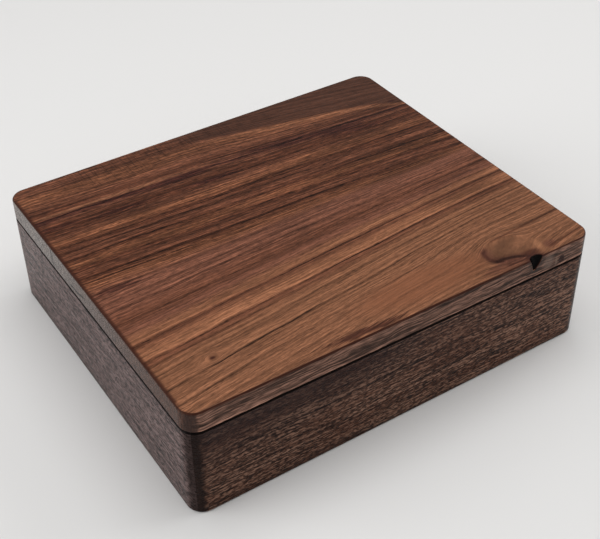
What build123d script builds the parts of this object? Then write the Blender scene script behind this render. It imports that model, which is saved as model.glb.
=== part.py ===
from build123d import *
import os
from math import asin, degrees, radians, tan

# A walnut keepsake box: a slab lid over a mitred frame of four boards, hung on two brass stop hinges.
# All sizes are in millimetres. The box stands on the XY plane with its front towards -Y, X along the
# front and Z up. The origin is under the middle of the whole box, with the hinge barrels counted in.

# Closed box
box_width = 254.0
box_depth = 216.0
box_height = 70.0
corner_radius = 9.0

# Frame of four boards
wall = 12.7
frame_arris = 0.8

# Bottom panel, held in a groove that runs round the frame
groove_height = 5.0
groove_depth = 5.0
panel_thickness = 6.0
panel_clearance = 0.2
panel_float = 0.5

# Felt laid on the bottom panel
felt_thickness = 1.5
felt_clearance = 0.3

# Slab lid
lid_thickness = 13.0
lid_gap = 0.3
lid_top_arris = 1.2
lid_foot_arris = 0.7

# Open knot hole that breaks the lid's front arris: a wide mouth, a waist and a narrow tip
knot_inset = 41.6
knot_mouth_width = 9.4
knot_mouth_back = 3.3
knot_mouth_shift = 1.0
knot_waist_width = 6.0
knot_waist_back = 2.0
knot_waist_shift = 0.9
knot_waist_drop = 3.9
knot_tip_drop = 7.9
knot_tip_radius = 0.8

# Brass stop hinges, each with two leaves let in flush
hinge_inset = 50.0
leaf_length = 25.4
leaf_thickness = 2.2
leaf_clearance = 0.1
rim_margin = 2.2
pin_setback = 0.6
stop_angle = 95.0
stop_relief = 0.3

# Knuckles and pin
ear_length = 6.2
centre_knuckle = 5.0
knuckle_clearance = 0.15
barrel_clearance = 0.3
pin_radius = 1.1
pin_recess = 0.15
fixed_pin_clearance = 0.02
turning_pin_clearance = 0.05

# Countersunk screws, two to a leaf
screws_per_leaf = 2
screw_end_distance = 5.7
screw_cover = 3.5
screw_tip = 1.2
screw_radius = 1.2
head_radius = 2.3
head_angle = 82.0
head_clearance = 0.05
leaf_hole_clearance = 0.2
pilot_clearance = 0.05
pilot_extra_depth = 0.5
slot_width = 0.7
slot_depth = 0.5

# Heights, worked out from the sizes above
frame_height = box_height - lid_thickness - lid_gap
lid_bottom = frame_height + lid_gap
felt_bottom = groove_height + panel_thickness

# Hinge sizes: a leaf is tangent to its own knuckles, and the pin lies halfway up the lid's gap.
# In the hinge's cross-section y is counted from the pin, so the leaf and its screws lie at minus y.
half_gap = lid_gap / 2
barrel_radius = leaf_thickness + half_gap
notch_radius = barrel_radius + knuckle_clearance
barrel_length = leaf_length - 2 * ear_length
pin_height = frame_height + half_gap
leaf_inner = -(pin_setback + wall - rim_margin - leaf_clearance)
screw_line = (leaf_inner - notch_radius) / 2
screw_spacing = (leaf_length - 2 * screw_end_distance) / (screws_per_leaf - 1)
screw_length = lid_thickness - screw_cover

# The barrels stand out behind the back, so the frame lies forward of the origin by half of that
frame_middle = -(pin_setback + barrel_radius) / 2
frame_front = frame_middle - box_depth / 2
frame_back = frame_middle + box_depth / 2
pin_line = frame_back + pin_setback
hinge_x = box_width / 2 - hinge_inset
knot_x = box_width / 2 - knot_inset

# Room inside the frame
inner_width = box_width - 2 * wall
inner_depth = box_depth - 2 * wall


def save(piece, name):
    """Labels a finished piece and writes it to its own file."""
    piece.part.label = name
    export_step(piece.part, f"parts/{name}.step")


def section_plane(middle_x, side):
    """The hinge's cross-section: its origin is on the pin and the leaf lies below its x axis.

    side is 1 for what belongs to the frame and -1 for its mirror image, which belongs to the lid.
    """
    return Plane(origin=(middle_x, pin_line, pin_height), x_dir=(0, 1, 0), z_dir=(side, 0, 0))


def screw_plane(middle_x, side):
    """The leaf's open face at the screw line, looking out of the wood."""
    face_height = pin_height - side * half_gap
    return Plane(origin=(middle_x, pin_line + screw_line, face_height), z_dir=(0, 0, side))


def box_outline(width, depth):
    """A rectangle around the middle of the frame."""
    with Locations((0, frame_middle)):
        Rectangle(width, depth)


def rounded_slab(bottom, thickness):
    """A slab with the box's outline and rounded vertical corners."""
    with BuildSketch(Plane.XY.offset(bottom)) as outline:
        with Locations((0, frame_middle)):
            RectangleRounded(box_width, box_depth, corner_radius)
    extrude(outline.sketch, amount=thickness)


def cut_hinge_seats(middle_x, side):
    """Cuts one hinge's mortise, the room for its barrel and the pilot holes for its screws."""
    section = section_plane(middle_x, side)
    mortise_length = leaf_length + 2 * leaf_clearance
    mortise_width = leaf_clearance - leaf_inner
    with BuildSketch(section.offset(-mortise_length / 2)) as mortise:
        with Locations((0, -barrel_radius)):
            Rectangle(mortise_width, barrel_radius, align=(Align.MAX, Align.MIN))
    extrude(mortise.sketch, amount=mortise_length, mode=Mode.SUBTRACT)
    scallop_length = barrel_length + 2 * barrel_clearance
    with BuildSketch(section.offset(-scallop_length / 2)) as scallop:
        Circle(barrel_radius + barrel_clearance)
    extrude(scallop.sketch, amount=scallop_length, mode=Mode.SUBTRACT)
    with Locations(screw_plane(middle_x, side)):
        with GridLocations(screw_spacing, 0, screws_per_leaf, 1):
            Hole(screw_radius + pilot_clearance, depth=screw_length + pilot_extra_depth)


def frame_blank():
    """The whole frame in one piece: rounded outside, hollow, grooved for the panel and eased."""
    rounded_slab(0, frame_height)
    with BuildSketch() as hollow:
        box_outline(inner_width, inner_depth)
    extrude(hollow.sketch, amount=frame_height, mode=Mode.SUBTRACT)
    with BuildSketch(Plane.XY.offset(groove_height)) as groove:
        box_outline(inner_width + 2 * groove_depth, inner_depth + 2 * groove_depth)
    extrude(groove.sketch, amount=panel_thickness + panel_clearance, mode=Mode.SUBTRACT)


def ease_frame(blank):
    """Planes a small chamfer round the frame's rim, inside and out, and round its foot."""
    rim = blank.faces().sort_by(Axis.Z)[-1]
    chamfer(rim.edges(), frame_arris)
    foot = blank.faces().sort_by(Axis.Z)[0]
    chamfer(foot.outer_wire().edges(), frame_arris)


def keep_between_mitres(across, along):
    """Keeps one board of the frame: the side at +along or -along, cut at 45 degrees at both ends.

    across and along are unit steps in x and y: the board runs across and lies out along.
    """
    outer_across = (box_width if across[0] else box_depth) / 2
    outer_along = (box_depth if across[0] else box_width) / 2

    def corner(sign, inset):
        x = across[0] * sign * (outer_across - inset) + along[0] * (outer_along - inset)
        y = across[1] * sign * (outer_across - inset) + along[1] * (outer_along - inset)
        return (x, frame_middle + y)

    with BuildSketch() as board:
        with BuildLine():
            Polyline(corner(-1, 0), corner(1, 0), corner(1, wall), corner(-1, wall), close=True)
        make_face()
    extrude(board.sketch, amount=frame_height, mode=Mode.INTERSECT)


def ear_outline():
    """A leaf's end stretch, whose tail is bevelled so that the two leaves meet at the stop."""
    bevel = tan(radians(stop_angle / 2 + stop_relief))
    Polyline(
        (leaf_inner, -barrel_radius),
        (barrel_radius / bevel, -barrel_radius),
        (half_gap / bevel, -half_gap),
        (leaf_inner, -half_gap),
        close=True,
    )


def knuckle_outline():
    """A stretch of leaf that runs on into the round of its own knuckle."""
    straight_down = -90
    three_quarters = 270
    rise = degrees(asin(half_gap / barrel_radius))
    floor = Line((leaf_inner, -barrel_radius), (0, -barrel_radius))
    round_end = CenterArc((0, 0), barrel_radius, straight_down, three_quarters + rise)
    face = Line(round_end @ 1, (leaf_inner, -half_gap))
    Line(face @ 1, floor @ 0)


def leaf_stretch(section, start, end, outline):
    """Extrudes one outline of the leaf along the pin."""
    with BuildSketch(section.offset(start)) as stretch:
        with BuildLine():
            outline()
        make_face()
    extrude(stretch.sketch, amount=end - start)


def notched_stretch(section, start, end):
    """A stretch of leaf that is cut back round the other leaf's knuckle."""
    with BuildSketch(section.offset(start)) as stretch:
        with Locations((leaf_inner, -barrel_radius)):
            Rectangle(-leaf_inner, leaf_thickness, align=(Align.MIN, Align.MIN))
        Circle(notch_radius, mode=Mode.SUBTRACT)
    extrude(stretch.sketch, amount=end - start)


def drill_leaf(middle_x, side, pin_clearance):
    """Bores the knuckles for the pin and countersinks the leaf for its screws."""
    with BuildSketch(section_plane(middle_x, side).offset(-leaf_length / 2)) as bore:
        Circle(pin_radius + pin_clearance)
    extrude(bore.sketch, amount=leaf_length, mode=Mode.SUBTRACT)
    with Locations(screw_plane(middle_x, side)):
        with GridLocations(screw_spacing, 0, screws_per_leaf, 1):
            CounterSinkHole(
                screw_radius + leaf_hole_clearance,
                head_radius + head_clearance,
                depth=leaf_thickness,
                counter_sink_angle=head_angle,
            )


os.makedirs("parts", exist_ok=True)

# Front board
with BuildPart() as front_board:
    frame_blank()
    ease_frame(front_board)
    keep_between_mitres(across=(1, 0), along=(0, -1))
save(front_board, "front_board")

# Back board, with the mortises of both hinges in its top edge
with BuildPart() as back_board:
    frame_blank()
    ease_frame(back_board)
    keep_between_mitres(across=(1, 0), along=(0, 1))
    cut_hinge_seats(-hinge_x, 1)
    cut_hinge_seats(hinge_x, 1)
save(back_board, "back_board")

# Left board
with BuildPart() as left_board:
    frame_blank()
    ease_frame(left_board)
    keep_between_mitres(across=(0, 1), along=(-1, 0))
save(left_board, "left_board")

# Right board
with BuildPart() as right_board:
    frame_blank()
    ease_frame(right_board)
    keep_between_mitres(across=(0, 1), along=(1, 0))
save(right_board, "right_board")

# Bottom panel, a little smaller than the groove so that the wood can move
with BuildPart() as bottom_panel:
    with BuildSketch(Plane.XY.offset(groove_height)):
        panel_overlap = groove_depth - panel_float
        box_outline(inner_width + 2 * panel_overlap, inner_depth + 2 * panel_overlap)
    extrude(amount=panel_thickness)
save(bottom_panel, "bottom_panel")

# Felt lining
with BuildPart() as felt_lining:
    with BuildSketch(Plane.XY.offset(felt_bottom)):
        box_outline(inner_width - 2 * felt_clearance, inner_depth - 2 * felt_clearance)
    extrude(amount=felt_thickness)
save(felt_lining, "felt_lining")

# Lid, one slab with eased arrises, the knot hole and the mortises of both hinges
with BuildPart() as lid_board:
    rounded_slab(lid_bottom, lid_thickness)
    fillet(lid_board.faces().sort_by(Axis.Z)[-1].edges(), lid_top_arris)
    chamfer(lid_board.faces().sort_by(Axis.Z)[0].edges(), lid_foot_arris)
    with BuildSketch(Plane.XY.offset(box_height)):
        with Locations((knot_x + knot_mouth_shift, frame_front)):
            Ellipse(knot_mouth_width / 2, knot_mouth_back)
    with BuildSketch(Plane.XY.offset(box_height - knot_waist_drop)):
        with Locations((knot_x + knot_waist_shift, frame_front)):
            Ellipse(knot_waist_width / 2, knot_waist_back)
    with BuildSketch(Plane.XY.offset(box_height - knot_tip_drop)):
        with Locations((knot_x, frame_front)):
            Circle(knot_tip_radius)
    loft(ruled=True, mode=Mode.SUBTRACT)
    cut_hinge_seats(-hinge_x, -1)
    cut_hinge_seats(hinge_x, -1)
save(lid_board, "lid_board")

# One hinge screw, from its head down along -Z, with its slot along X
with BuildPart() as screw:
    head_depth = (head_radius - screw_radius) / tan(radians(head_angle / 2))
    with BuildSketch(Plane.XZ):
        with BuildLine():
            Polyline(
                (0, 0),
                (head_radius, 0),
                (screw_radius, -head_depth),
                (screw_radius, screw_tip - screw_length),
                (0, -screw_length),
                close=True,
            )
        make_face()
    revolve(axis=Axis.Z)
    with BuildSketch():
        Rectangle(2 * head_radius, slot_width)
    extrude(amount=-slot_depth, mode=Mode.SUBTRACT)

# The hinges: the frame's leaf carries the two outer knuckles and the lid's leaf the centre one
half_leaf = leaf_length / 2
half_barrel = barrel_length / 2
half_centre = centre_knuckle / 2

for hinge_name, middle_x in (("left_hinge", -hinge_x), ("right_hinge", hinge_x)):
    with BuildPart() as box_leaf:
        section = section_plane(middle_x, 1)
        outer_start = half_centre + knuckle_clearance
        leaf_stretch(section, -half_leaf, -half_barrel, ear_outline)
        leaf_stretch(section, -half_barrel, -outer_start, knuckle_outline)
        notched_stretch(section, -outer_start, outer_start)
        leaf_stretch(section, outer_start, half_barrel, knuckle_outline)
        leaf_stretch(section, half_barrel, half_leaf, ear_outline)
        drill_leaf(middle_x, 1, fixed_pin_clearance)
    save(box_leaf, f"{hinge_name}_box_leaf")

    with BuildPart() as lid_leaf:
        section = section_plane(middle_x, -1)
        ear_start = half_barrel + knuckle_clearance
        leaf_stretch(section, -half_leaf, -ear_start, ear_outline)
        notched_stretch(section, -ear_start, -half_centre)
        leaf_stretch(section, -half_centre, half_centre, knuckle_outline)
        notched_stretch(section, half_centre, ear_start)
        leaf_stretch(section, ear_start, half_leaf, ear_outline)
        drill_leaf(middle_x, -1, turning_pin_clearance)
    save(lid_leaf, f"{hinge_name}_lid_leaf")

    with BuildPart() as pin:
        pin_length = barrel_length - 2 * pin_recess
        with BuildSketch(section_plane(middle_x, 1).offset(-pin_length / 2)):
            Circle(pin_radius)
        extrude(amount=pin_length)
    save(pin, f"{hinge_name}_pin")

    for leaf_name, side in (("box", 1), ("lid", -1)):
        with BuildPart() as leaf_screws:
            with Locations(screw_plane(middle_x, side)):
                with GridLocations(screw_spacing, 0, screws_per_leaf, 1):
                    add(screw.part)
        save(leaf_screws, f"{hinge_name}_{leaf_name}_screws")
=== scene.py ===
import math

import bpy
import numpy as np
from mathutils import Matrix, Vector


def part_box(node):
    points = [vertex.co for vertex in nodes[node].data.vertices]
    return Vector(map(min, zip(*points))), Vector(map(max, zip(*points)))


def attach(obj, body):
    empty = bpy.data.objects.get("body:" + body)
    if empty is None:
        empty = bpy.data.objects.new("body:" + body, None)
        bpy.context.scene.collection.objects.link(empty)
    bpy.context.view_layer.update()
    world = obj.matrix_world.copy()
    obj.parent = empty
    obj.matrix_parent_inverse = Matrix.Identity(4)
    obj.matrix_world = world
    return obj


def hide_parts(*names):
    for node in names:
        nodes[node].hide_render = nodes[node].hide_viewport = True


# A walnut keepsake box with a solid slab lid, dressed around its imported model.
# Lengths are in metres, as in the frame; patterns in the wood are laid out in millimetres.
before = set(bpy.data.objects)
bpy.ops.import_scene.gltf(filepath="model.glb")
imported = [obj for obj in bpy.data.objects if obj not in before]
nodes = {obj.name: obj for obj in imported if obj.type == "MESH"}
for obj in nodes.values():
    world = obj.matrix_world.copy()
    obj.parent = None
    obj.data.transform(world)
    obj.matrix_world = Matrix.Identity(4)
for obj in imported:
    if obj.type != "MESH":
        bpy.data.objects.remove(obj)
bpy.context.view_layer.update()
scene = bpy.context.scene
scene.view_settings.view_transform = "Standard"

# Camera: it stands off the box's front left corner and looks down on the lid.
# Its place was solved from the straight edges of the box in the 600 x 539 pixel photograph.
photo_width = 600
focal_pixels = 1140.4
camera_azimuth = math.radians(-32.51)
camera_elevation = math.radians(38.73)
camera_roll = math.radians(-0.87)
camera_distance = 0.6752
camera_target = Vector((0.0057, 0.0000, 0.0254))
sensor_width = 36.0

towards_camera = Vector((
    math.sin(camera_azimuth) * math.cos(camera_elevation),
    -math.cos(camera_azimuth) * math.cos(camera_elevation),
    math.sin(camera_elevation),
))
level = Vector((0, 0, 1)).cross(towards_camera).normalized()
upward = towards_camera.cross(level)
camera_right = math.cos(camera_roll) * level + math.sin(camera_roll) * upward
camera_up = math.cos(camera_roll) * upward - math.sin(camera_roll) * level
camera_data = bpy.data.cameras.new("photo_camera")
camera_data.sensor_width = sensor_width
camera_data.lens = focal_pixels / photo_width * sensor_width
camera_data.clip_start = 0.01
camera = bpy.data.objects.new("photo_camera", camera_data)
turn = Matrix((camera_right, camera_up, towards_camera)).transposed().to_4x4()
camera.matrix_world = Matrix.Translation(camera_target + camera_distance * towards_camera) @ turn
scene.collection.objects.link(camera)
scene.camera = camera

# Floor: a wide sheet of pale grey paper under the box.
# It catches the box's soft shadow, and its light on the sides gives the oiled wood a grey sheen.
paper_half_width = 3.0
paper_lines = 13
paper_colour = (0.76, 0.755, 0.75, 1)
mm_per_metre = 1000


def new_mesh_object(name, points, faces):
    """An object at the origin from an array of points and an array of four-sided faces."""
    mesh = bpy.data.meshes.new(name)
    mesh.from_pydata(points.tolist(), [], faces.tolist())
    mesh.update()
    made = bpy.data.objects.new(name, mesh)
    scene.collection.objects.link(made)
    return made


def grid_faces(rows, columns):
    """Joins the points of a grid, counted row by row, into four-sided faces."""
    corner = np.arange(rows * columns).reshape(rows, columns)
    around = (corner[:-1, :-1], corner[:-1, 1:], corner[1:, 1:], corner[1:, :-1])
    return np.stack(around, axis=-1).reshape(-1, 4)


class Shade:
    """One output of a node, so that a material is written as arithmetic that adds its own nodes."""

    def __init__(self, socket):
        self.socket = socket

    def node(self, kind, sockets, output=0, stops=None, **settings):
        """Adds a node of this kind, sets it up, fills its sockets by name or number, returns an output."""
        made = self.socket.id_data.nodes.new("ShaderNode" + kind)
        for name, value in settings.items():
            setattr(made, name, value)
        if stops:
            elements = made.color_ramp.elements
            while len(elements) < len(stops):
                elements.new(1.0)
            for element, (position, colour) in zip(elements, stops):
                element.position = position
                element.color = colour
        for key, value in sockets.items():
            if isinstance(value, Shade):
                self.socket.id_data.links.new(value.socket, made.inputs[key])
            else:
                made.inputs[key].default_value = value
        return Shade(made.outputs[output])

    def math(self, operation, first, second=0.0):
        return self.node("Math", {0: first, 1: second}, operation=operation)

    def __add__(self, other):
        return self.math("ADD", self, other)

    def __sub__(self, other):
        return self.math("SUBTRACT", self, other)

    def __rsub__(self, other):
        return self.math("SUBTRACT", other, self)

    def __neg__(self):
        return self.math("SUBTRACT", 0.0, self)

    def __mul__(self, other):
        return self.math("MULTIPLY", self, other)

    def __truediv__(self, other):
        return self.math("DIVIDE", self, other)

    def __rtruediv__(self, other):
        return self.math("DIVIDE", other, self)

    def __pow__(self, other):
        return self.math("POWER", self, other)

    __radd__ = __add__
    __rmul__ = __mul__

    def above(self, other):
        """The larger of the two values."""
        return self.math("MAXIMUM", self, other)

    def size(self):
        """The value without its sign."""
        return self.math("ABSOLUTE", self)

    def rise(self, low, high):
        """0 up to low, 1 from high on, and a smooth step between them."""
        ends = {"Value": self, "From Min": low, "From Max": high}
        return self.node("MapRange", ends, interpolation_type="SMOOTHSTEP")

    def fall(self, low, high):
        """1 up to low, 0 from high on, and a smooth step between them."""
        return 1 - self.rise(low, high)

    def span(self, start, full, fading, gone):
        """0 up to start, 1 from full to fading and 0 again from gone on, with smooth steps between them."""
        return self.rise(start, full) * self.fall(fading, gone)

    def between(self, first, second):
        """The first colour where this value is 0, the second where it is 1, and their mixture between."""
        return self.node("Mix", {0: self, 6: first, 7: second}, 2, data_type="RGBA")

    def blend(self, mask, colour):
        """This colour, turned into the other one where the mask is 1."""
        return mask.between(self, colour)

    def times(self, factor):
        """This colour, darker or lighter by the factor."""
        both = {0: 1.0, 6: self, 7: factor}
        return self.node("Mix", both, 2, data_type="RGBA", blend_type="MULTIPLY")

    def noise(self, x, y, z, detail=2.0, roughness=0.5, distortion=0.0):
        """Smooth noise from 0 to 1, read at a point given by its three coordinates."""
        place = self.node("CombineXYZ", {0: x, 1: y, 2: z})
        sizes = {"Vector": place, "Scale": 1.0, "Detail": detail, "Roughness": roughness}
        return self.node("TexNoise", {**sizes, "Distortion": distortion})

    def parts(self):
        """The x, y and z of a place or a direction."""
        split = self.node("SeparateXYZ", {0: self}).socket.node
        return [Shade(split.outputs[k]) for k in range(3)]


def new_material(name):
    """A material with a Principled shader; returns it, the shader and the x, y and z of a point in mm."""
    material = bpy.data.materials.new(name)
    material.use_nodes = True
    shader = material.node_tree.nodes["Principled BSDF"]
    place = Shade(shader.outputs[0]).node("TexCoord", {}, "Object")
    return material, shader, [part * mm_per_metre for part in place.parts()]


def feed(shader, **values):
    """Links or sets sockets of a shader; an underscore in a name stands for a space."""
    for name, value in values.items():
        socket = shader.inputs[name.replace("_", " ")]
        if isinstance(value, Shade):
            shader.id_data.links.new(value.socket, socket)
        else:
            socket.default_value = value


across = np.linspace(-paper_half_width, paper_half_width, paper_lines)
paper_x, paper_y = np.meshgrid(across, across)
paper_points = np.stack([paper_x, paper_y, np.zeros_like(paper_x)], axis=-1).reshape(-1, 3)
paper = new_mesh_object("paper_floor", paper_points, grid_faces(paper_lines, paper_lines))
paper_material, paper_shader, _ = new_material("grey_paper")
feed(paper_shader, Base_Color=paper_colour, Roughness=0.9, Specular_IOR_Level=0.2)
paper.data.materials.append(paper_material)

# Studio light: a large soft lamp above the box and a weaker one at each side, in a pale room.
# On the lid they add up to about the level at which a colour looks as it is written.
room_level = 0.50
room_colour = (1.0, 0.995, 0.985, 1)


def soft_lamp(name, place, width, watts):
    """A square area lamp that looks at the box."""
    data = bpy.data.lights.new(name, "AREA")
    data.energy = watts
    data.size = width
    lamp = bpy.data.objects.new(name, data)
    lamp.matrix_world = Matrix.Translation(place) @ Vector(place).to_track_quat("Z", "Y").to_matrix().to_4x4()
    scene.collection.objects.link(lamp)


soft_lamp("overhead_lamp", (0.08, 0.02, 1.1), width=0.9, watts=4.6)
soft_lamp("left_lamp", (-1.5, 0.5, 0.8), width=1.2, watts=12)
soft_lamp("right_lamp", (1.5, -0.2, 0.9), width=1.2, watts=8)
room = bpy.data.worlds.new("pale_room")
room.use_nodes = True
room.node_tree.nodes["Background"].inputs["Color"].default_value = room_colour
room.node_tree.nodes["Background"].inputs["Strength"].default_value = room_level
scene.world = room

# Frame boards: four lengths of black walnut, mitred and glued, oiled to a satin finish.
# The grain runs along each board; at the rounded corners the mitre lays it open and it turns dark,
# deepened by painted shade. The left board is straighter in the grain, and a painted sheen greys it.
# Painted shade darkens the front board's top under the lid and the foot of every board,
# and painted light brightens the front board toward its right end.
frame_dark = (0.010, 0.004, 0.003, 1)
frame_mid = (0.086, 0.041, 0.027, 1)
frame_light = (0.250, 0.137, 0.094, 1)
frame_red = (0.095, 0.032, 0.016, 1)
# The left board's greyed colours hold a painted sheen
sheen_greyed_mid = (0.126, 0.081, 0.076, 1)
sheen_greyed_light = (0.178, 0.119, 0.112, 1)
painted_lid_shade_brown = (0.020, 0.010, 0.010, 1)
pore_colour = (0.008, 0.003, 0.002, 1)
joint_shadow = (0.002, 0.001, 0.0008, 1)
pore_darkness = 0.7
painted_foot_shade = 0.35
joint_shade_strength = 0.95


def dress(node_name, material):
    """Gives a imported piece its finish."""
    nodes[node_name].material_slots[0].material = material


def streaks_of(along, across, deep, length, width, low=0.36, high=0.64, detail=1.0, roughness=0.5):
    """Streaks of one length and width in mm, drawn out along the grain.

    They are 0 where the noise is under low, 1 where it is over high, and fine lines come with more detail.
    """
    return along.noise(along / length, across / width, deep / width, detail, roughness).rise(low, high)


def direction_of(shader):
    """The x, y and z of the way the surface faces, for masks that tell its sides apart."""
    return Shade(shader.outputs[0]).node("TexCoord", {}, "Normal").parts()


def oil(shader, colour, long_fibres, short_fibres, pores, relief, relief_depth, sheen):
    """Oiled walnut: a satin gloss, a little stronger on the light fibres, and pores sunk below them."""
    height = long_fibres * 0.3 + short_fibres * 0.2 - pores
    bump = height.node("Bump", {"Strength": relief, "Distance": relief_depth, "Height": height})
    roughness = 0.30 - long_fibres * 0.06
    feed(shader, Base_Color=colour, Roughness=roughness, Normal=bump, Specular_IOR_Level=sheen)


def walnut_board(name, axes, shift, sheen=0.06, redness=0.3, mid=frame_mid, light=frame_light, waviness=1.0,
                 corner_grain_and_shade=0.5, painted_lid_shade=0.0, painted_light_to_right=0.0):
    """Long grain for one board, from stripes, fine lines, fibres and pores.

    Axes names the ones along, across and through the board. The shift is how far along the tree it was cut,
    so that no two boards match. Waviness is how far its lines stray, painted_lid_shade how much painted shade
    darkens its upper part at the left, and painted_light_to_right how much painted light brightens it toward
    the right.
    """
    material, shader, places = new_material(name)
    z = places[2]
    along, across, deep = (places["xyz".index(letter)] for letter in axes)
    # Painted shade under the lid over the board's upper part, strongest at its left
    painted_lid_shade_mask = z.rise(24, 56) * (1 - 0.75 * along.rise(-70, 60)) * painted_lid_shade
    # Painted light: the board grows lighter toward its right end
    painted_light_gain = 1 + painted_light_to_right * along.rise(-60, 120)

    along = along + shift
    wander = (z.noise(along / 80, across / 25, deep / 25) - 0.5) * (9 * waviness)
    curl = (z.noise(along / 9, across / 5, deep / 5) - 0.5) * waviness
    line = across + 0.5 * deep + wander + curl
    stripes = streaks_of(along, line, 0.0, 130, 2.6, low=0.38, high=0.62, detail=3.0, roughness=0.65)
    fine_lines = streaks_of(along, line, deep, 60, 0.95)
    long_fibres = streaks_of(along, line, deep, 18, 0.85)
    short_fibres = streaks_of(along, line, deep, 3.2, 1.15)
    pores = streaks_of(along, line, deep, 2.4, 0.95, low=0.54, high=0.66, detail=0.0)
    red_places = z.noise(along / 40, across / 8, deep / 8).rise(0.4, 0.7)

    tone = stripes * 0.10 + fine_lines * 0.32 + long_fibres * 0.22 + short_fibres * 0.36
    colour = tone.node("ValToRGB", {0: tone}, stops=[(0.18, frame_dark), (0.5, mid), (0.82, light)])
    colour = colour.blend(red_places * redness, frame_red)
    colour = colour.blend(pores * pore_darkness, pore_colour)
    # The painted shade under the lid
    colour = colour.blend(painted_lid_shade_mask, painted_lid_shade_brown)
    # Painted shade along the foot of each board, where it meets the floor
    colour = colour.blend(z.fall(1, 8) * painted_foot_shade, frame_dark)
    colour = colour.times(painted_light_gain)

    facing = direction_of(shader)
    end_on = facing["xyz".index(axes[0])].size().rise(0.08, 0.5)
    top_arris = facing[2].span(0.1, 0.4, 0.85, 0.97)
    # The rounded corners: open end grain, darkened further with painted shade
    colour = colour.blend(end_on * corner_grain_and_shade, frame_dark)
    # Painted shadow of the lid joint on the top arris
    colour = colour.blend(top_arris * joint_shade_strength, joint_shadow)
    oil(shader, colour, long_fibres, short_fibres, pores, relief=0.5, relief_depth=0.0003, sheen=sheen)
    return material


dress("front_board", walnut_board(
    "walnut_front_board", "xzy", shift=0, corner_grain_and_shade=0.95, painted_lid_shade=0.75, painted_light_to_right=0.2))
dress("back_board", walnut_board("walnut_back_board", "xzy", shift=700))
dress("left_board", walnut_board(
    "walnut_left_board", "yzx", shift=1400, sheen=0.05, redness=0.0, mid=sheen_greyed_mid, light=sheen_greyed_light,
    waviness=0.35, corner_grain_and_shade=0.75))
dress("right_board", walnut_board("walnut_right_board", "yzx", shift=2100))

# Bottom panel: thin walnut-faced board, loose in the groove that runs round the frame.
# Only its underside shows, when the box is turned over.
dress("bottom_panel", walnut_board("walnut_panel_face", "xyz", shift=2800, sheen=0.10, redness=0.2))

# Felt lining: dark brown wool felt, cut to the inside of the box and glued to the bottom panel.
# It is soft, so its face swells and sinks a little and its cut edges turn down.
felt_low, felt_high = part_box("felt_lining")
felt_width = felt_high.x - felt_low.x
felt_length = felt_high.y - felt_low.y
felt_inset = 0.0004
felt_thickness = 0.0008
felt_columns = 191
felt_rows = 161
swell_height = 0.0001
swell_room = 0.00015
edge_drop = 0.0006
edge_rounding = 0.0012
felt_brown = (0.050, 0.033, 0.026, 1)
felt_tan = (0.085, 0.058, 0.045, 1)


def felt_face(columns, rows):
    """The felt's upper face as a grid over its width and length.

    It is a level plane with slow swells, the product of two long sine waves and half of a slanting one,
    and over its outer millimetre it turns down as a parabola.
    """
    u = np.linspace(-1, 1, columns)
    v = np.linspace(-1, 1, rows)
    u, v = np.meshgrid(u, v)
    x = (felt_low.x + felt_high.x) / 2 + u * (felt_width / 2 - felt_inset)
    y = (felt_low.y + felt_high.y) / 2 + v * (felt_length / 2 - felt_inset)
    to_edge = np.minimum((1 - np.abs(u)) * felt_width / 2, (1 - np.abs(v)) * felt_length / 2)
    swell = np.sin(41 * x + 1.3) * np.sin(53 * y + 0.4) + 0.5 * np.sin(97 * x - 61 * y)
    turned_down = edge_drop * (1 - np.clip(to_edge / edge_rounding, 0, 1)) ** 2
    z = felt_high.z - swell_room + swell_height * swell - turned_down
    return np.stack([x, y, z], axis=-1).reshape(-1, 3)


felt_points = felt_face(felt_columns, felt_rows)
felt = new_mesh_object("felt_lining_cloth", felt_points, grid_faces(felt_rows, felt_columns))
felt.data.shade_smooth()
body_of_felt = felt.modifiers.new("thickness", "SOLIDIFY")
body_of_felt.thickness = felt_thickness
body_of_felt.offset = -1
felt_material, felt_shader, (x, y, z) = new_material("brown_wool_felt")
clouds = z.noise(x / 18, y / 18, z / 18, detail=3.0).rise(0.35, 0.65)
hairs = z.noise(x / 1.4, y / 0.5, z / 0.5, detail=3.0, roughness=0.7, distortion=1.5).rise(0.3, 0.7)
colour = (hairs * 0.6 + clouds * 0.3).between(felt_brown, felt_tan)
bump = z.node("Bump", {"Strength": 0.6, "Distance": 0.0003, "Height": hairs})
feed(felt_shader, Base_Color=colour, Roughness=0.95, Normal=bump, Specular_IOR_Level=0.1)
feed(felt_shader, Sheen_Weight=0.35, Sheen_Roughness=0.5)
felt.data.materials.append(felt_material)
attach(felt, "box")
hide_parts("felt_lining")

# Lid: one slab of black walnut with eased arrises, oiled and hung on two hinges let into its underside.
# Its growth lines fan out past an open knot at the front edge and a pin knot; its back is curly.
# Places on it are in mm from its left end, from its back edge and down from its top.
lid_low, lid_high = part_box("lid_board")
lid_left = lid_low.x * mm_per_metre
lid_back = lid_high.y * mm_per_metre
lid_top = lid_high.z * mm_per_metre
lid_width = lid_high.x * mm_per_metre - lid_left
lid_depth = lid_back - lid_low.y * mm_per_metre
knot_right, knot_front, knot_length, knot_width = 206.0, 201.0, 15.5, 10.0
pin_right, pin_front, pin_length, pin_width = 30.5, 187.0, 4.0, 2.2
mouth_right = 213.4
hole_right = 213.5

deep_purple = (0.042, 0.012, 0.009, 1)
dark_brown = (0.080, 0.027, 0.014, 1)
mid_brown = (0.125, 0.046, 0.025, 1)
red_purple = (0.155, 0.060, 0.036, 1)
orange_tan = (0.180, 0.068, 0.033, 1)
light_tan = (0.265, 0.110, 0.056, 1)
front_tan = (0.200, 0.085, 0.044, 1)
plain_tan = (0.220, 0.082, 0.040, 1)
wedge_brown = (0.064, 0.026, 0.016, 1)

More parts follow.
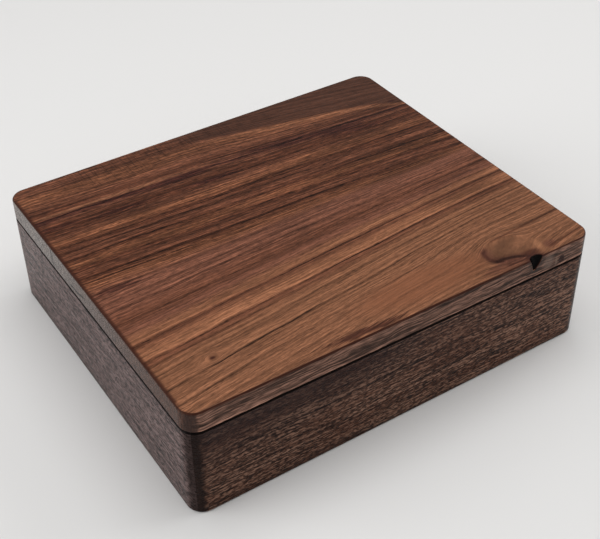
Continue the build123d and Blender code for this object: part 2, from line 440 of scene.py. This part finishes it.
lid_material, lid_shader, (x, y, z) = new_material("walnut_lid_slab")
side_x, side_y, side_z = direction_of(lid_shader)
right = x - lid_left
front = lid_back - y
deep = lid_top - z
share = right / lid_width


def reach(across, down, length, width):
    """How far a point is from the middle of an ellipse of this half length and half width; 1 is its edge."""
    return ((across / length) ** 2 + (down / width) ** 2) ** 0.5


def oval(across, down, length, width, inner, outer):
    """1 in an ellipse and 0 round it; it fades out from inner to outer, counted as in reach."""
    return reach(across, down, length, width).fall(inner, outer)


def stroke(distance, core, width):
    """1 along a line and 0 away from it, from the distance to the line; it fades out from core to width."""
    return distance.size().fall(core, width)


def contrast(pattern, strength):
    """A factor round 1 that follows a pattern from 0 to 1."""
    return 1 + (pattern - 0.5) * strength


# Going right, the lines drift to the front in the back half and ever more to the back in the front half.
# In the back right corner they bend round the wedge
fan = 8.5 - 20.5 * front.rise(105, 120) - 0.30 * (front - 120).above(0)
wedge_bend = 38 * ((share - 0.45).above(0) ** 1.2) * front.fall(20, 60)
wander = (z.noise(right / 55, front / 14, deep / 14) - 0.5) * 3.2
flutter = (z.noise(right / 9, front / 3, deep / 3) - 0.5) * 1.2

# Knots push the lines aside as stones do in a stream
from_knot = right - knot_right
past_knot = front - knot_front
past_pin = front - pin_front
knot_ripple = (z.noise(right / 6, front / 6, deep / 6) - 0.5) * 0.14
knot_reach = reach(from_knot, past_knot, knot_length, knot_width) + knot_ripple
pin_reach = reach(right - pin_right, past_pin, pin_length, pin_width)
knot_push = past_knot / (knot_reach * knot_reach).above(1.0)
pin_push = past_pin / (pin_reach * pin_reach).above(1.0)
smooth_line = front - fan * share - wedge_bend + wander + 1.1 * deep - knot_push - pin_push
line = smooth_line + flutter

# Bands of colour from the back to the front, by line; in the back half they break up into lenses
line_span = 264
bands = [
    (0, mid_brown), (8, mid_brown), (14, orange_tan), (26, mid_brown), (31, dark_brown), (34, mid_brown),
    (38, deep_purple), (42, mid_brown), (45, dark_brown), (51, dark_brown), (57, mid_brown), (61, orange_tan),
    (67, dark_brown), (74, mid_brown), (79, dark_brown), (84, orange_tan), (88, dark_brown), (93, mid_brown),
    (97, dark_brown), (104, orange_tan), (114, red_purple), (128, red_purple), (141, mid_brown),
    (149, red_purple), (156, light_tan), (160, mid_brown), (168, light_tan), (171, light_tan),
    (174, mid_brown), (181, front_tan), (line_span, front_tan),
]
broken = 1.0 - 0.8 * front.rise(60, 120)
lenses = (z.noise(right / 50, line / 2.8, deep / 2.8, detail=2.0, roughness=0.6) - 0.5) * 14
band_place = (line + lenses * broken) / line_span
colour = z.node("ValToRGB", {0: band_place}, stops=[(at / line_span, tone) for at, tone in bands])

# Growth lines: place, depth and width. Each has a lighter edge behind it, and comes and goes along the board
growth_lines = [
    (37, 0.35, 1.6), (51, 0.3, 1.4), (67, 0.3, 1.5), (72, 0.3, 1.0), (79, 0.35, 1.4), (87.5, 0.4, 1.0),
    (97, 0.4, 1.3), (101, 0.35, 0.9), (131, 0.3, 1.0), (141, 0.35, 1.2), (152, 0.25, 1.0), (159.5, 0.45, 1.1),
    (173.3, 0.55, 1.0), (177, 0.2, 1.0), (184.5, 0.2, 1.0), (195.5, 0.45, 1.0), (207, 0.3, 1.0),
    (221, 0.3, 1.0),
]
growth = 0
for place, depth, width in growth_lines:
    past_line = smooth_line - place
    growth = growth + depth * stroke(past_line, 0, 1.5 * width)
    growth = growth - 0.35 * depth * stroke(past_line + 1.9 * width, 0, 1.5 * width)
growth = growth * (0.5 + 0.75 * z.noise(right / 60, line / 6, 0.0).rise(0.35, 0.6))
pinstripes = streaks_of(right, line, 0.0, 170, 1.8, low=0.38, high=0.62, detail=2.0, roughness=0.6)
long_fibres = streaks_of(right, line, deep, 22, 0.95)
short_fibres = streaks_of(right, line, deep, 7, 0.7)
specks = streaks_of(right, line, deep, 2.4, 0.6)
pores = streaks_of(right, line, deep, 4.0, 0.65, low=0.57, high=0.68, detail=0.0)

# Curl across the grain near the back, and the plain brown wedge in the back right corner with its light lip
curl_place = front.span(-2, 4, 14, 30) * right.span(25, 50, 110, 200)
curl_lines = z.noise(right / 0.8, front / 16, 0.0, detail=1.0, distortion=0.2).rise(0.34, 0.5)
curl = 1 - (1 - curl_lines) * 0.38 * curl_place
past_bend = right - 175
wedge_edge = 23.5 + 0.17 * past_bend + 0.000016 * past_bend ** 3
past_wedge = front - wedge_edge - wander * 0.7
in_wedge = past_wedge.fall(-1.2, 1.2) * right.rise(95, 125)
wedge_lip = stroke(past_wedge - 2.6, 0.4, 2.4) * right.rise(100, 150)
colour = colour.blend(in_wedge * 0.92, wedge_brown)
colour = colour.blend(wedge_lip * 0.45, light_tan)

# The fine grain is calmer in the wedge, in the knot and on the plain patch left of it
in_knot = 1 - knot_reach.rise(0.8, 1.05) * reach(right - 219.0, front - 207.5, 11.0, 7.0).rise(0.8, 1.1)
plain_front = oval(right - 152, front - 199, 48, 13, 0.5, 1.2) * 0.6
colour = colour.blend(plain_front, plain_tan)
calm = (1 - 0.45 * in_wedge) * (1 - 0.65 * in_knot) * (1 - plain_front) * (1 - 0.38 * front.rise(95, 150))
shading = contrast(pinstripes, 0.8 * calm) * contrast(long_fibres, 0.56 * calm)
shading = shading * contrast(short_fibres, 0.56 * calm) * contrast(specks, 0.32 * calm)
shading = shading * (1.03 - 0.36 * pores * calm)
knot_rings = z.noise(knot_reach * 8, from_knot / 6, past_knot / 4, detail=1.0).rise(0.35, 0.65)
shading = shading * contrast(knot_rings, 0.10 * in_knot)
shading = (shading - growth * (1 - in_wedge) * (1 - in_knot)) * curl

# Dark lens-shaped streaks with frayed ends: place to the right and to the front, length, width and strength
streaks = [
    (94, 42.5, 17, 2.8, 0.9), (107, 53.5, 20, 2.2, 0.8), (48, 50.5, 20, 2.4, 0.7), (25, 39.0, 20, 2.0, 0.6),
    (200, 50.0, 20, 4.2, 0.85), (214, 56.0, 20, 2.2, 0.7), (15, 113.0, 15, 3.2, 0.7),
    (247, 39.8, 3.0, 1.2, 1.0), (157, 41.0, 32, 2.6, 0.6), (10, 46.5, 15, 2.0, 0.6), (52, 39.0, 15, 2.0, 0.6),
    (103, 212.5, 24, 2.6, 0.8),
]
frayed = (short_fibres + long_fibres - 1) * 0.3
for right_place, front_place, length, width, strength in streaks:
    from_streak = right - right_place
    past_streak = front - front_place - 0.04 * from_streak
    inside = (reach(from_streak, past_streak, length, width) + frayed).fall(0.45, 1.3)
    colour = colour.blend(inside * strength, deep_purple)

# Broad soft patches: place to the right and to the front, half length, half width, lighter or darker
patches = [
    (212, 109, 48, 4.5, -0.45), (214, 143, 50, 9, -0.28), (50, 130, 60, 8, 0.16), (70, 15, 60, 9, -0.32),
    (195, 86, 45, 9, -0.20), (60, 85, 60, 3, -0.40), (85, 45, 55, 4, -0.28), (80, 53, 32, 2.5, 0.40),
    (88, 68.5, 38, 2.6, 0.45), (188, 206, 22, 9, -0.15), (12, 208, 22, 8, 0.16), (200, 66, 40, 6, -0.30),
    (62, 148, 30, 3, -0.20), (100, 32, 40, 4, -0.22), (150, 100, 60, 9, -0.10), (232, 163, 24, 15, -0.14),
    (228, 132, 28, 5, -0.20), (228, 92, 26, 3, -0.30), (222, 148, 32, 2.5, -0.28), (182, 144, 22, 2.5, 0.35),
    (20, 46, 24, 12, 0.12), (132, 92, 30, 3, 0.20),
]
patch_shading = 0.965
for right_place, front_place, length, width, change in patches:
    inside = oval(right - right_place, front - front_place, length, width, 0.3, 1.25)
    patch_shading = patch_shading + change * inside
shading = shading * patch_shading
light_streak = stroke(front - 34.5 - 0.03 * right - 0.5 * wander, 0.4, 1.8) * right.fall(60, 125)
colour = colour.blend(light_streak * 0.7, light_tan)

# The knot: a tan face with a dark purple crescent round its left end and a dark line along its foot.
# A soft hollow lies above the hole, with a bright crest beside it and a thin line over and behind the knot
knot_face = (0.135, 0.060, 0.032, 1)
face_light = (0.205, 0.088, 0.046, 1)
knot_brown = (0.062, 0.021, 0.013, 1)
crescent_brown = (0.070, 0.026, 0.020, 1)
foot_dark = (0.028, 0.010, 0.007, 1)
foot_red = (0.120, 0.045, 0.028, 1)
crest_red = (0.125, 0.046, 0.030, 1)
crest_tan = (0.285, 0.125, 0.064, 1)
face_figure = z.noise(right / 3.5, front / 2.0, 0.0).rise(0.35, 0.65)
bright_part = oval(right - 214.0, front - 200.8, 10.0, 5.0, 0.2, 1.1)
colour = colour.blend(knot_reach.fall(0.5, 1.0) * 0.85, knot_face)
colour = colour.blend(bright_part * (0.45 + 0.5 * face_figure), face_light)
left_and_foot = (0.5 * past_knot / knot_width - 0.8 * from_knot / knot_length).rise(0.0, 0.5)
crescent = knot_reach.span(0.5, 0.85, 0.95, 1.3) * left_and_foot
outer_ring = stroke(knot_reach - 0.97, 0.02, 0.16) * left_and_foot
colour = colour.blend(crescent * 0.55, crescent_brown)
colour = colour.blend(outer_ring * 0.7, deep_purple)
foot_line = front - 206.6 - 0.018 * (right - 194.0) ** 2 - 0.3 * flutter
along_foot = right.span(191, 194, 211, 213)
under_foot = front.rise(206.5, 209.5) * oval(right - 203.0, front - 211.5, 26.0, 5.0, 0.5, 1.2)
colour = colour.blend(stroke(foot_line + 1.6, 0.2, 3.0) * along_foot * 0.45, knot_brown)
colour = colour.blend(stroke(foot_line, 0.5, 2.0) * along_foot * 0.95, foot_dark)
colour = colour.blend(under_foot * foot_line.rise(0.8, 1.8) * 0.75, foot_red)
hollow = oval(right - 214.2, front - 210.2 - 0.05 * (right - 214.2), 7.0, 3.4, 0.3, 1.15)
beside_hole = oval(right - 228.0, front - 210.0, 5.5, 4.5, 0.3, 1.1)
crest = oval(right - 221.8 - 0.15 * (207.0 - front), front - 206.6, 3.2, 6.0, 0.2, 1.1)
colour = colour.blend(hollow * 0.9, knot_brown)
colour = colour.blend(beside_hole * 0.7, crest_red)
colour = colour.blend(crest * 0.9, crest_tan)
shadow_line = stroke(front - 212.8 - 0.06 * (right - 204), 0.3, 1.3) * right.span(193, 198, 209.5, 212)
top_line = stroke(front - 191.0 + 0.062 * (right - 204.5) + 0.25 * wander, 0.1, 1.3) * right.rise(196, 206)
tail_line = stroke(front - 212.2 + 0.12 * (right - 221) - 0.2 * flutter, 0.2, 1.5) * right.rise(224, 228)
colour = colour.blend(shadow_line * 0.8, knot_brown)
colour = colour.blend(top_line * 0.75, dark_brown)
colour = colour.blend(tail_line * 0.7, dark_brown)
colour = colour.blend(pin_reach.fall(0.15, 0.7) * 0.9, deep_purple)

# Side faces: the front and back edges are browner and greyer than the top.
# The ends show end grain with a painted sheen, pale grey at the back and fading toward the front,
# and a painted highlight runs along the edges' lower lip
edge_brown = (0.172, 0.094, 0.070, 1)
end_sheen_grey = (0.165, 0.146, 0.135, 1)
end_brown = (0.052, 0.025, 0.018, 1)
end_on = side_x.size().rise(0.3, 0.8)
edge_on = side_y.size().rise(0.3, 0.8)
left_end_on = (-side_x).rise(0.3, 0.8)
front_edge_on = (-side_y).rise(0.3, 0.8)
rays = z.noise(right / 0.7, front / 1.0, deep / 3.5, detail=1.0).rise(0.35, 0.65)
colour = colour.blend(edge_on * 0.85, edge_brown)
colour = colour.blend(end_on * 0.9, front.rise(30, 215).between(end_sheen_grey, end_brown))
edge_wave = (z.noise(right / 24, deep / 8, front / 8) - 0.5) * 5
edge_line = deep + edge_wave + 0.02 * right
edge_grain = streaks_of(right, edge_line, 0.0, 70, 1.5, low=0.40, high=0.60, detail=2.0, roughness=0.6)
edge_fibres = streaks_of(right, edge_line, front, 7, 0.8)
# Painted highlight along the edges' lower lip
lip_highlight = deep.span(11.0, 11.7, 12.1, 12.4)
edge_shading = (0.30 + 0.98 * edge_grain) * (0.56 + 0.88 * edge_fibres) * (1.10 - 0.24 * share)
edge_shading = edge_shading * (1 + 0.45 * lip_highlight)
shading = shading * (1 - edge_on) + edge_on * edge_shading
shading = shading * (1 - end_on) + end_on * (0.6 + 0.8 * rays)
colour = colour.times(shading.above(0.1))

# The rounded corners cut the grain open and turn dark, deepened by painted shade, and the eased upper arris
# is dark red.
# It is widest at the left end and at the front's left part; the lower arris lies in the joint's shade
corner_grain_and_shade_brown = (0.034, 0.020, 0.017, 1)
arris_brown = (0.040, 0.012, 0.007, 1)
on_corner = side_y.size().span(0.1, 0.7, 0.9, 0.97) * side_z.size().fall(0.3, 0.6)
top_arris = side_z.span(0.35, 0.6, 0.86, 0.98)
left_rim = right.fall(1.0, 2.8) * front.span(5, 12, 202, 210) * side_z.rise(0.5, 0.9)
front_rim = front_edge_on * deep.fall(0.8, 2.0) * right.fall(170, 205)
lower_arris = (-side_z).span(0.2, 0.5, 0.85, 0.97)
colour = colour.blend(on_corner * 0.75, corner_grain_and_shade_brown)
colour = colour.blend(top_arris * 0.9, arris_brown)
colour = colour.blend(left_rim * 0.85, arris_brown)
colour = colour.blend(front_rim * 0.65, arris_brown)
colour = colour.blend(lower_arris * joint_shade_strength, joint_shadow)

# Marks on the front edge: a pale patch beside the hole, a small round knot, a smudge, a pale bar and the
# hole's grey rim; place to the right and down, half length, half height, inner, outer, strength and colour
edge_marks = [
    (222.5, 6.5, 4.5, 5.5, 0.4, 1.2, 0.6, (0.170, 0.118, 0.094, 1)),
    (232.2, 8.6, 2.5, 2.9, 0.6, 1.15, 0.95, (0.022, 0.006, 0.004, 1)),
    (208.4, 9.2, 2.2, 1.0, 0.4, 1.2, 0.8, (0.030, 0.014, 0.012, 1)),
    (228.4, 8.4, 1.0, 3.4, 0.3, 1.2, 0.6, (0.210, 0.140, 0.105, 1)),
    (mouth_right, 1.0, 6.0, 9.0, 0.75, 1.2, 0.55, (0.034, 0.028, 0.026, 1)),
]
for right_place, down_place, length, height, inner, outer, strength, mark_colour in edge_marks:
    mark = oval(right - right_place, deep - down_place, length, height, inner, outer)
    colour = colour.blend(front_edge_on * mark * strength, mark_colour)

# Two short drying checks in the left end: one crosses the edge, and one lies along it
check_black = (0.0, 0.0, 0.0, 1)
first_wave = (z.noise(deep / 6, 0.0, 0.0, detail=1.0) - 0.5) * 4
first_check = stroke(front - 62.0 - 0.25 * (deep - 6) + first_wave, 0.3, 1.3) * deep.rise(0.6, 2.0)
second_wave = (z.noise(front / 9, 0.0, 0.0, detail=1.0) - 0.5) * 3 + 0.12 * (front - 95)
second_check = stroke(deep - 8.4 + second_wave, 0.4, 1.3) * front.span(83, 88, 101, 107)
colour = colour.blend(left_end_on * first_check.above(second_check) * 0.8, check_black)

# The knot hole: a purple mouth round it on the top, and painted black shade inside down to its point
hole_painted_shade = (0.0015, 0.001, 0.001, 1)
mouth = oval(right - mouth_right, front - lid_depth, 8.0, 6.0, 0.45, 1.1) * deep.fall(0.3, 1.5)
inside_hole = deep.span(0.36, 0.6, 8.5, 9.5) * (lid_depth - front).rise(0.36, 0.6)
hole = oval(right - hole_right, front - lid_depth, 6.5, 6.0, 0.9, 1.0) * inside_hole
colour = colour.blend(mouth * 0.8, deep_purple)
colour = colour.blend(hole, hole_painted_shade)
oil(lid_shader, colour, long_fibres, short_fibres, pores, relief=0.3, relief_depth=0.0002, sheen=0.06)
dress("lid_board", lid_material)

# Hinges: two brass stop hinges, whose leaves lie flush in the back board and in the lid.
# The leaves are extruded and brushed lengthways, and turn on a pin; slotted screws hold them.
brass_gold = (0.66, 0.45, 0.19, 1)
brass_tarnish = (0.34, 0.21, 0.09, 1)


def satin_brass(name, brushing):
    """Brass with fine lines along the hinge and a little tarnish in patches."""
    material, shader, (x, y, z) = new_material(name)
    lines = z.noise(x / 14, y / 0.16, z / 0.16, detail=2.0).rise(0.3, 0.7)
    tarnish = z.noise(x / 4, y / 4, z / 4, detail=3.0).rise(0.45, 0.8)
    colour = (tarnish * 0.45 + lines * 0.12).between(brass_gold, brass_tarnish)
    bump = z.node("Bump", {"Strength": brushing, "Distance": 0.00005, "Height": lines})
    feed(shader, Base_Color=colour, Metallic=1.0, Roughness=0.30 + lines * 0.12 + tarnish * 0.1, Normal=bump)
    return material


leaf_brass = satin_brass("satin_brass_leaf", brushing=0.5)
screw_brass = satin_brass("satin_brass_screw", brushing=0.15)
for side in ("left", "right"):
    for piece in ("box_leaf", "lid_leaf"):
        dress(f"{side}_hinge_{piece}", leaf_brass)
    for piece in ("pin", "box_screws", "lid_screws"):
        dress(f"{side}_hinge_{piece}", screw_brass)
